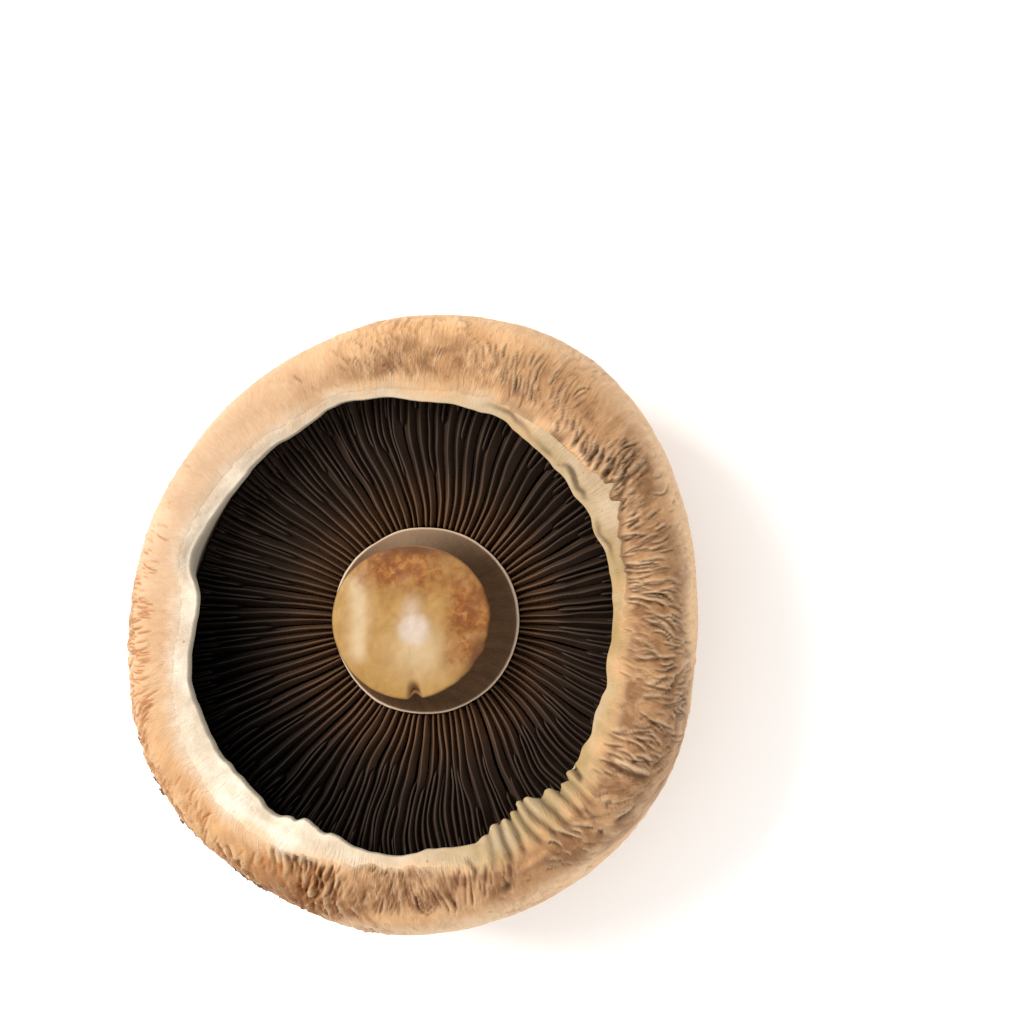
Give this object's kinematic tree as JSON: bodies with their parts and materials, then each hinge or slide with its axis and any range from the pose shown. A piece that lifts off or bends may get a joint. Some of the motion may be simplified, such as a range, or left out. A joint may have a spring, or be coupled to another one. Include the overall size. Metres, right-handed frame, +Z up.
{
  "type": "portobello mushroom",
  "caption": "Large flat mushroom lying on its cap, with a rolled margin round a mouth of dark radial gills and a short stem cut off level.",
  "frame": {"origin": "on the surface the mushroom lies on, under the middle of the cap", "axes": "+Z up, out of the gills and along the stem; +Y along the cap's longest width"},
  "size_m": [0.106, 0.1148, 0.039],
  "materials": {
    "cap_skin": "matte",
    "gill_flesh": "matte",
    "stem_flesh": "matte"
  },
  "bodies": {
    "root": {"cap": "cap_skin", "gills": "gill_flesh", "stem": "stem_flesh"}
  },
  "joints": []
}
